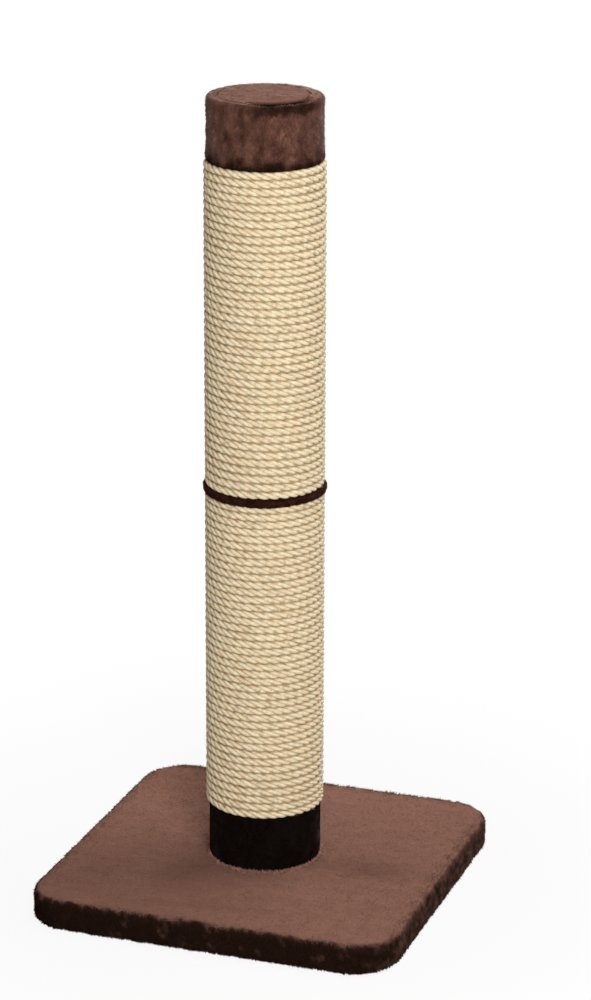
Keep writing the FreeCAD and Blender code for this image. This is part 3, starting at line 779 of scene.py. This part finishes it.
class Winding:
    """Rows of rope in the room of a node of the frame. They start and end level or tilted, as the
    shares of a full climb in tilt say for the first row, the middle rows and the last row. settled is
    how far the first row has slid down at an angle on the post."""

    def __init__(self, node, tilt, settled):
        self.low, self.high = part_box(node)
        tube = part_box("lower_tube")[1].x
        self.tube = tube
        self.thickness = self.high.x - tube
        self.line = tube + self.thickness / 2
        rise = self.high.z - self.low.z - self.thickness
        self.rows = int(rise // (self.thickness + ROW_GAP))
        self.pitch = rise / self.rows
        self.tilt = tilt
        self.settled = settled
        self.start = -JOG if tilt[0] == 0 else 0.0
        self.end = self.rows + 1.0

    def climb(self, turn):
        """Rows climbed after some turns from the start, by as much at the front whatever the tilt."""
        first, middle, last = self.tilt
        blend = 4.0
        share = first + (middle - first) * ease(0, blend, turn)
        share += (last - share) * ease(self.rows - blend, self.rows, turn)
        row = min(max(math.floor(turn), 0), self.rows)
        part = turn - row
        step = 0.0 if turn < 0 or row == self.rows else ease(1 - JOG, 1, part)
        return row + step * (1 - share) + (part - FRONT_PART) * share

    def fullness(self, turn):
        """1 where the rope is whole. Its ends are unlaid and thinned to fill the wedge next to the
        row that climbs past them."""
        if turn < 0:
            return ease(1 - JOG, 1, 1 + turn)
        return 1 - ease(1 - JOG, 1, turn - self.rows)

    def start_tilt(self, angle):
        """How far the first row has climbed above its start, at an angle on the post."""
        return self.pitch * self.climb(((START_ANGLE - angle) / TURN) % 1.0) - self.settled(angle)

    def height(self, turn, angle):
        """Height of the rope's middle after some turns. Rows that touch wander together."""
        level = self.low.z + self.thickness / 2 + self.pitch * self.climb(turn)
        level += (self.thickness / 2) * (1 - self.fullness(turn)) * (1 if turn > 1 else -1)
        level -= self.settled(angle) * (1 - ease(0, 8, turn))
        spot = (self.line * math.cos(angle), self.line * math.sin(angle), level)
        return level + 0.7 * MM * ripple(spot, 55 * MM, 26 * MM)

    def strand(self, number, sizes, seed):
        """Rows of (x, y, z, radius) along one strand."""
        per_lay = 14
        length = TURN * self.line * (self.end - self.start)
        count = int(length / sizes.lay * per_lay)
        rows = []
        for i in range(count + 1):
            turn = self.start + (self.end - self.start) * i / count
            run = TURN * self.line * turn
            angle = START_ANGLE - TURN * turn
            full = max(self.fullness(turn), 0.12)
            loose = 3.0 * noise.noise(Vector((run / (700 * MM), seed, 3.0)))
            loose += 0.45 * noise.noise(Vector((run / (45 * MM), seed, 7.0 + number)))
            twist = TURN * (run / sizes.lay + number / STRANDS) + loose
            swell = full * (1 + 0.1 * noise.noise(Vector((run / (18 * MM), seed, 20.0 + number))))
            out = self.tube + full * (self.thickness / 2 + sizes.strand_out * math.cos(twist))
            height = self.height(turn, angle) + full * sizes.strand_up * math.sin(twist)
            rows.append((out * math.cos(angle), out * math.sin(angle), height, sizes.strand * swell))
        return np.array(rows)

    def bed(self):
        """Rows of (x, y, z, radius) for the fibres that are pressed together between two turns."""
        steps = 24
        rows = []
        for i in range(self.rows * steps + 1):
            turn = i / steps
            angle = START_ANGLE - TURN * turn
            height = (self.height(turn, angle) + self.height(turn + 1, angle)) / 2
            out = self.line - 0.4 * MM
            rows.append((out * math.cos(angle), out * math.sin(angle), height, 2.3 * MM))
        return np.array(rows)

    def stray_fibres(self, count, seed):
        """Lines of fibres that stand out of the rope, each bending back along it."""
        draw = random.Random(seed)
        thickness = bpy.context.scene.post_sizes.fibre
        steps = 3
        lines = []
        for _ in range(count):
            turn = draw.uniform(0, self.rows + 1 - JOG)
            angle = START_ANGLE - TURN * turn
            height = self.height(turn, angle) + draw.uniform(-0.4, 0.4) * self.thickness
            reach = self.line + self.thickness * 0.42
            length = draw.uniform(4, 14) * MM
            lift = draw.uniform(0.2, 1.0) ** 3 * 4.5 * MM
            sink, way = draw.uniform(-3.5, 3.5) * MM, draw.choice((-1, 1))
            line = []
            for step in range(steps + 1):
                t = step / steps
                bend = angle + way * length * t / reach
                out = reach + (lift + 0.5 * MM) * t * (1.6 - 0.9 * t)
                line.append((
                    out * math.cos(bend), out * math.sin(bend), height + sink * t * t,
                    thickness / 2 * (1 - 0.7 * t),
                ))
            lines.append(np.array(line))
        return lines


class POST_OT_rope(bpy.types.Operator):
    """Winds both lengths of the post with three-strand sisal rope"""

    bl_idname = "post.rope"
    bl_label = "Sisal Rope"

    def execute(self, context):
        sizes, colours = context.scene.post_sizes, context.scene.post_colours
        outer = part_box("lower_sisal_rope")[1].x
        rope = sisal(colours.sisal, colours.sisal_dark_and_shade, outer)
        halves = (("lower", LOWER_TILT, lambda angle: SETTLED), ("upper", UPPER_TILT, droop))
        for seed, (part, tilt, settled) in enumerate(halves):
            node = f"{part}_sisal_rope"
            winding = Winding(node, tilt, settled)
            for number in range(STRANDS):
                name = f"{part}_rope_strand_{number + 1}"
                line = winding.strand(number, sizes, 3.0 + seed)
                link_piece(name, bars(name, [line], 8), rope, "sisal", node)
            name = f"{part}_rope_bed"
            link_piece(name, bars(name, [winding.bed()], 6), rope, "sisal")
            name = f"{part}_rope_fibres"
            link_piece(name, bars(name, winding.stray_fibres(STRAY_FIBRES, 5 + seed), 4), rope, "sisal")
        return {"FINISHED"}


# ---- joint ring ----
class POST_OT_joint_ring(bpy.types.Operator):
    """Wraps the disc between the two lengths of the post in dark plush"""

    bl_idname = "post.joint_ring"
    bl_label = "Joint Ring"

    def execute(self, context):
        sizes = context.scene.post_sizes
        low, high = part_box("joint_plush_ring")
        disc_low, disc_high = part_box("joint_disc")
        skin = 0.1 * MM
        cut_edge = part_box("lower_tube")[1].x - 20 * MM
        middle, half = (low.z + high.z) / 2, 3.9 * MM
        centre = high.x - 1.0 * MM - half

        def roll(swing):
            def ring(angle):
                sag = droop(angle) - 2.0 * MM * (1 - ease(0, 30, degrees_from(-165, angle)))
                return centre + half * math.cos(swing), middle - sag + half * math.sin(swing)

            return ring

        rings = [(circle(cut_edge, low.z + skin), 0), (circle(centre - 1 * MM, low.z + skin), 0)]
        bends = 14
        rings += [(roll(math.pi * (i / bends - 0.5)), 1) for i in range(bends + 1)]
        rings += [
            (circle(centre - 1 * MM, high.z - skin), 0),
            (circle(cut_edge, high.z - skin), 0),
            (circle(cut_edge, disc_high.z + skin), 0),
            (circle(disc_high.x + skin, disc_high.z + skin), 0),
            (circle(disc_high.x + skin, disc_low.z - skin), 0),
            (circle(cut_edge, disc_low.z - skin), 0),
        ]
        bm = lathe(rings, 240)
        rough_up(bm, [(10 * MM, 0.8 * MM), (5 * MM, 0.5 * MM)])
        dress(bm, comb=lambda place, normal: Vector((0, 0, -0.5)))
        dark = plush("dark_plush_ring", "ring", "ring", 0.18, (9 * MM, 9 * MM, 9 * MM), 0.5)
        lay_cloth(
            bm, "joint_ring", dark, "dark_plush", "joint_plush_ring",
            ("joint_ring_pile", 51, 900000, sizes.dark_width, sizes.dark_length * 0.8, 0.7, 0.3, 0.5),
        )
        return {"FINISHED"}


# ---- cap ----
CREVICE_DEPTH = 5.5 * MM
CAP_NAP = Vector((-0.3, -0.9, 0.0))


def gap_at(angle):
    """1 where the cap's disc stands off the fold under it, from the front to the right, else 0."""
    return 1 - ease(24, 52, degrees_from(-48, angle))


class POST_OT_cap(bpy.types.Operator):
    """Covers the top of the post in brown plush, folded in under a round plush disc"""

    bl_idname = "post.cap"
    bl_label = "Cap"

    def execute(self, context):
        sizes = context.scene.post_sizes
        for name, make, sheen, contrast in (
            ("brown_plush_cap_side", self.make_sleeve, 1.0, 0.42),
            ("brown_plush_cap_top", self.make_disc, 0.4, 0.12),
        ):
            make(sizes, plush(name, "cap", "flank", sheen, (12 * MM, 12 * MM, 17 * MM), contrast))
        return {"FINISHED"}

    def make_sleeve(self, sizes, brown):
        low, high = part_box("cap_plush_sleeve")
        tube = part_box("upper_tube")[1]
        outer, top = high.x - 2.8 * MM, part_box("cap_plush_disc")[1].z - 2.4 * MM
        fold = high.z - 1.0 * MM
        cut_edge = tube.x - 24 * MM
        shoulder = sizes.shoulder

        def folded(radius, height, gather):
            def ring(angle):
                lump = ripple((math.cos(angle), math.sin(angle), height * 4), 0.28)
                return radius + lump * gather, height

            return ring

        def sunk(radius, height, share):
            def ring(angle):
                wide, level = folded(radius, height, 0.9 * MM)(angle)
                return wide, level - 0.6 * CREVICE_DEPTH * gap_at(angle) * share**2

            return ring

        def lifted(radius, height, gather):
            def ring(angle):
                wide, level = folded(radius, height, gather)(angle)
                share = 1 - ease(low.z, low.z + 22 * MM, height)
                away = degrees_from(-70, angle)
                at_back = ease(105, 140, away)
                hem = 3.6 * MM * ease(35, 85, away) * (1 - at_back)
                hem += 0.7 * MM * ripple((math.cos(angle), math.sin(angle), 4), 0.2) * (1 - at_back)
                return wide, level + hem * share

            return ring

        rings = [
            (lifted(tube.x + SKIN, low.z + 0.8 * MM, 0), 0),
            (lifted(outer - 1 * MM, low.z + 0.7 * MM, 0), 0.8),
        ]
        rises = 22
        bottom, top_side = low.z + 1.6 * MM, top - shoulder
        for i in range(rises + 1):
            share = i / rises
            flare = 1.5 * MM * (1 - share) ** 6
            rings.append((lifted(outer + flare, bottom + (top_side - bottom) * share, 0.9 * MM * share), 1))
        bends = 8
        for i in range(1, bends + 1):
            swing = math.pi / 2 * i / bends
            radius = outer - shoulder * (1 - math.cos(swing))
            rings.append((sunk(radius, top_side + shoulder * math.sin(swing), i / bends), 1))
        inward = 14
        start, end = outer - shoulder, high.x - 20 * MM

        def roll(share):
            def ring(angle):
                sag = CREVICE_DEPTH * gap_at(angle) * (0.6 + 0.4 * ease(0, 0.5, share))
                level = top + 1.0 * MM * (1 - gap_at(angle)) * ease(0.1, 0.7, share)
                return start + (end - start) * share, level - sag - (top - fold) * ease(0.9, 1.0, share)

            return ring

        rings += [(roll(i / inward), 1) for i in range(1, inward + 1)]
        rings.append((circle(cut_edge, fold - 0.5 * MM), 0))
        rings += [
            (circle(cut_edge, tube.z + SKIN), 0),
            (circle(tube.x + SKIN, tube.z + SKIN), 0),
        ]
        bm = lathe(rings, 240)
        rough_up(bm, [(20 * MM, 0.5 * MM), (6 * MM, 0.3 * MM)])

        def comb_at(place, normal):
            down = Vector((0, 0, -1)) + normal * normal.z
            away = Vector((place.x, place.y, 0)).normalized() * max(normal.z, 0)
            inner = 1 - ease(high.x - 15 * MM, high.x - 10 * MM, math.hypot(place.x, place.y))
            inner *= 1 - gap_at(math.atan2(place.y, place.x))
            return (down * 0.9 + away * 0.8) * (1 - inner) + CAP_NAP * inner

        # The dark share on the cap: darker at its bottom, painted shade in the crevice and under the disc's
        # front edge, darker mottles, and a little darker where it faces up.
        def shaded_at(place, normal):
            rim = 1 - ease(6 * MM, 20 * MM, place.z - low.z + ripple(place, 12 * MM) * 9 * MM)
            angle = math.atan2(place.y, place.x)
            depth = top - place.z + ripple(place, 8 * MM) * 6 * MM
            under = gap_at(angle) * (1 - ease(7 * MM, 16 * MM, depth))
            reach = math.hypot(place.x, place.y)
            crevice_shade = gap_at(angle) * (1 - ease(high.x - 14 * MM, high.x - 9 * MM, reach))
            blotch = ease(0.1, 0.6, ripple(place, 14 * MM, 24 * MM)) * (1 - 0.8 * max(normal.z, 0))
            return max(rim, 0.95 * crevice_shade, 0.85 * under, 0.55 * blotch, 0.25 * normal.z)

        def tall_at(place, normal):
            seam = 1 - ease(high.x - 19 * MM, high.x - 16 * MM, math.hypot(place.x, place.y))
            tousled = gap_at(math.atan2(place.y, place.x)) * ease(top - 14 * MM, top - 4 * MM, place.z)
            return 1 - 0.4 * max(normal.z, 0) * (1 - seam) + 0.3 * tousled

        dress(bm, comb=comb_at, flank=shaded_at, tall=tall_at)
        width, length = sizes.pile_width * 0.85, sizes.pile_length * 0.9
        lay_cloth(
            bm, "cap_sleeve", brown, "cap_plush", "cap_plush_sleeve",
            ("cap_sleeve_pile", 61, 750000, width, length, 0.3, 0.4, 0.25),
            lowest=low.z - 0.4 * MM,
        )

    def make_disc(self, sizes, brown):
        low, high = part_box("cap_plush_disc")
        card_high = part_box("cap_card")[1]
        outer, top, edge = high.x - 0.8 * MM, high.z - 1.4 * MM, 2.4 * MM

        def rolled(swing):
            def ring(angle):
                radius = edge * (0.3 + 0.7 * gap_at(angle))
                return outer - radius * (1 - math.cos(swing)), top - radius * (1 - math.sin(swing))

            return ring

        rings = [
            (circle(0.5 * MM, card_high.z + SKIN), 0),
            (circle(card_high.x + SKIN, card_high.z + SKIN), 0),
            (circle(card_high.x + SKIN, low.z + SKIN), 0),
            (circle(outer - 1.5 * MM, low.z + SKIN), 0.3),
            (circle(outer, low.z + 1.5 * MM), 1),
        ]
        bends = 5
        for i in range(bends + 1):
            rings.append((rolled(math.pi / 2 * i / bends), 1))
        inward = 22
        rings += [
            (circle((outer - edge) * (1 - i / inward), top + 0.4 * MM * i / inward), 1)
            for i in range(1, inward)
        ]
        rings.append((circle(0.5 * MM, top + 0.4 * MM), 1))
        bm = lathe(rings, 200, poles=True)
        rough_up(bm, [(18 * MM, 0.35 * MM), (5 * MM, 0.25 * MM)])
        # The disc's rolled edge over the crevice takes the shaded copy of its colours: painted shade.
        dress(
            bm, comb=lambda place, normal: CAP_NAP,
            flank=lambda place, normal: gap_at(math.atan2(place.y, place.x))
            * (1 - ease(high.z - 4.5 * MM, high.z - 2.5 * MM, place.z)),
            tall=lambda place, normal: 0.6,
        )
        width, length = sizes.pile_width * 0.85, sizes.pile_length * 0.8
        lay_cloth(
            bm, "cap_disc", brown, "cap_plush", "cap_plush_disc",
            ("cap_disc_pile", 71, 800000, width, length, 0.3, 0.3, 0.25),
        )


# ---- frame, stage and panel ----
class POST_OT_frame_finish(bpy.types.Operator):
    """Gives the boards, tubes, fasteners and the sheet under the base their real finish"""

    bl_idname = "post.frame_finish"
    bl_label = "Frame Finish"

    def execute(self, context):
        finishes = {
            "particle_board": particle_board(),
            "paperboard": paperboard(),
            "nonwoven_sheet": nonwoven(),
            "zinc_steel": zinc_steel("zinc_plated_steel", "c9ccd0", 0.32),
            "staple_steel": zinc_steel("galvanised_staple_wire", "b4b7ba", 0.4),
        }
        for part in frame["record"]["subparts"]:
            finish = finishes.get(part["material_slot"])
            if finish:
                for material_slot in frame["nodes"][part["node"]].material_slots:
                    material_slot.material = finish
        return {"FINISHED"}


class POST_OT_stage(bpy.types.Operator):
    """Sets the floor, the white surround, the lamps and the camera"""

    bl_idname = "post.stage"
    bl_label = "Stage"

    def execute(self, context):
        self.make_floor()
        self.make_surround(context.scene)
        self.make_lamps()
        self.make_camera(context.scene)
        context.scene.view_settings.view_transform = "Standard"
        return {"FINISHED"}

    def seen_straight(self, tree):
        """1 for what the camera sees itself, in a mirror or through glass, and 0 for what only lights."""
        seen = add(tree, "ShaderNodeLightPath").node.outputs
        straight = seen["Is Camera Ray"]
        for ray in ("Is Glossy Ray", "Is Transmission Ray"):
            straight = add(tree, "ShaderNodeMath", {0: straight, 1: seen[ray]}, operation="MAXIMUM")
        return straight

    def make_floor(self):
        bm = bmesh.new()
        bmesh.ops.create_grid(bm, x_segments=1, y_segments=1, size=30.0)
        bmesh.ops.translate(bm, verts=bm.verts, vec=(0, 0, -0.2 * MM))
        floor = new_object("floor", to_mesh(bm, "floor"))
        material = bpy.data.materials.new("white_paper_floor")
        material.use_nodes = True
        tree = material.node_tree
        tree.nodes.clear()
        paper, faint = [add(tree, "ShaderNodeBsdfDiffuse", {"Color": (grey,) * 3}) for grey in (0.5, 0.06)]
        place = add(tree, "ShaderNodeTexCoord", take="Object")
        reach = add(tree, "ShaderNodeVectorMath", {0: place}, "Value", operation="LENGTH")
        # The glow is dimmer near the post: a painted shadow round it on the floor.
        level = add(tree, "ShaderNodeMapRange", {"Value": reach, 1: 0.35, 2: 1.3, 3: 0.9, 4: 1.0})
        glow = add(tree, "ShaderNodeEmission", {"Color": (1, 1, 1), "Strength": level})
        both = add(tree, "ShaderNodeAddShader", {0: faint, 1: glow})
        mixed = add(tree, "ShaderNodeMixShader", {0: self.seen_straight(tree), 1: paper, 2: both})
        below = add(tree, "ShaderNodeNewGeometry", take="Backfacing")
        clear = add(tree, "ShaderNodeBsdfTransparent")
        mixed = add(tree, "ShaderNodeMixShader", {0: below, 1: mixed, 2: clear})
        add(tree, "ShaderNodeOutputMaterial", {"Surface": mixed})
        floor.data.materials.append(material)

    def make_surround(self, scene):
        world = bpy.data.worlds.new("white_surround")
        world.use_nodes = True
        scene.world = world
        tree = world.node_tree
        tree.nodes.clear()
        light = add(tree, "ShaderNodeBackground", {"Color": (1, 0.95, 0.88), "Strength": 0.2})
        white = add(tree, "ShaderNodeBackground", {"Color": (1, 1, 1), "Strength": 1.0})
        mixed = add(tree, "ShaderNodeMixShader", {0: self.seen_straight(tree), 1: light, 2: white})
        add(tree, "ShaderNodeOutputWorld", {"Surface": mixed})

    def make_lamps(self):
        target = Vector((0, 0, 0.5))
        lamps = (
            ("front", (1.6, -2.85, 2.2), 1.5, 117),
            ("top", (0.8, 1.1, 3.3), 2.4, 66),
            ("left", (-2.5, 0.3, 2.2), 1.5, 3),
        )
        for name, place, width, power in lamps:
            data = bpy.data.lights.new(name, "AREA")
            data.shape = "DISK"
            data.size = width
            data.energy = power
            lamp = new_object(name, data)
            lamp.location = place
            lamp.rotation_mode = "QUATERNION"
            lamp.rotation_quaternion = (target - Vector(place)).to_track_quat("-Z", "Y")

    def make_camera(self, scene):
        azimuth, elevation, roll = math.radians(19.22), math.radians(18.05), math.radians(0.18)
        distance, aside, aim = 4.4375, 0.0394, 0.5316
        focal_pixels, long_side_pixels = 3428.3, 1000
        back = Vector((
            math.sin(azimuth) * math.cos(elevation), -math.cos(azimuth) * math.cos(elevation),
            math.sin(elevation),
        ))
        right = Vector((math.cos(azimuth), math.sin(azimuth), 0))
        data = bpy.data.cameras.new("camera")
        data.sensor_width = 36.0
        data.lens = focal_pixels * data.sensor_width / long_side_pixels
        data.clip_start, data.clip_end = 0.1, 100.0
        camera = new_object("camera", data)
        camera.location = Vector((0, 0, aim)) + right * aside + back * distance
        camera.rotation_mode = "QUATERNION"
        upright = Matrix((right, back.cross(right), back)).transposed()
        camera.rotation_quaternion = (upright @ Matrix.Rotation(roll, 3, "Z")).to_quaternion()
        scene.camera = camera


class POST_PT_panel(bpy.types.Panel):
    """Lists the sizes, the colours and the steps"""

    bl_label = "Scratching Post"
    bl_idname = "POST_PT_panel"
    bl_space_type = "VIEW_3D"
    bl_region_type = "UI"
    bl_category = "Scratching Post"

    def draw(self, context):
        for group in (context.scene.post_sizes, context.scene.post_colours):
            box = self.layout.box()
            for name in group.__annotations__:
                box.prop(group, name)
        for step in STEPS:
            self.layout.operator(step.bl_idname)


STEPS = (
    POST_OT_stage, POST_OT_base_cover, POST_OT_foot_band, POST_OT_rope, POST_OT_joint_ring, POST_OT_cap,
    POST_OT_frame_finish,
)
CLASSES = (PostSizes, PostColours, *STEPS, POST_PT_panel)


def register():
    for each in CLASSES:
        bpy.utils.register_class(each)
    bpy.types.Scene.post_sizes = bpy.props.PointerProperty(type=PostSizes)
    bpy.types.Scene.post_colours = bpy.props.PointerProperty(type=PostColours)


def unregister():
    del bpy.types.Scene.post_colours
    del bpy.types.Scene.post_sizes
    for each in reversed(CLASSES):
        bpy.utils.unregister_class(each)


def main():
    register()
    bpy.ops.post.stage()
    bpy.ops.post.base_cover()
    bpy.ops.post.foot_band()
    bpy.ops.post.rope()
    bpy.ops.post.joint_ring()
    bpy.ops.post.cap()
    bpy.ops.post.frame_finish()


if __name__ == "__main__":
    main()
